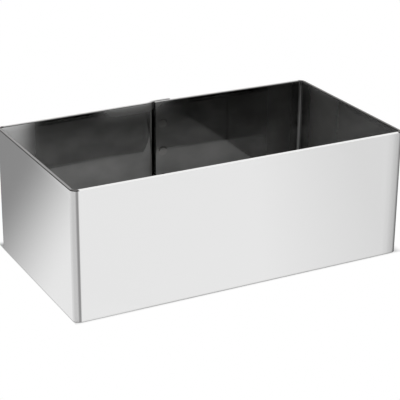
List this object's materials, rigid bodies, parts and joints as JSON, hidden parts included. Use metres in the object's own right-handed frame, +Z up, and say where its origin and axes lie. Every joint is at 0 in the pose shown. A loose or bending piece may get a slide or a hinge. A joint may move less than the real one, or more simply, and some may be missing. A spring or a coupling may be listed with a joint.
{
  "type": "rectangular food ring",
  "caption": "Open rectangular ring of bent stainless sheet, closed in its back wall by a joggled, spot-welded lap seam, for shaping portions of food.",
  "frame": {"origin": "under the middle of the whole outline, joggled lap included, in the plane of the bottom rim", "axes": "+X along the ring's length, +Y across it towards the wall that holds the lap seam, +Z up from the bottom rim to the top rim"},
  "size_m": [0.12, 0.0664, 0.044],
  "materials": {
    "stainless_sheet": "bright cold-rolled stainless sheet, smooth with a soft mirror reflection",
    "weld_metal": "round electrode mark, a little duller and darker than the sheet"
  },
  "bodies": {
    "root": {"ring_band": "stainless_sheet", "spot_weld_1": "weld_metal", "spot_weld_2": "weld_metal", "spot_weld_3": "weld_metal", "spot_weld_4": "weld_metal"}
  },
  "joints": []
}
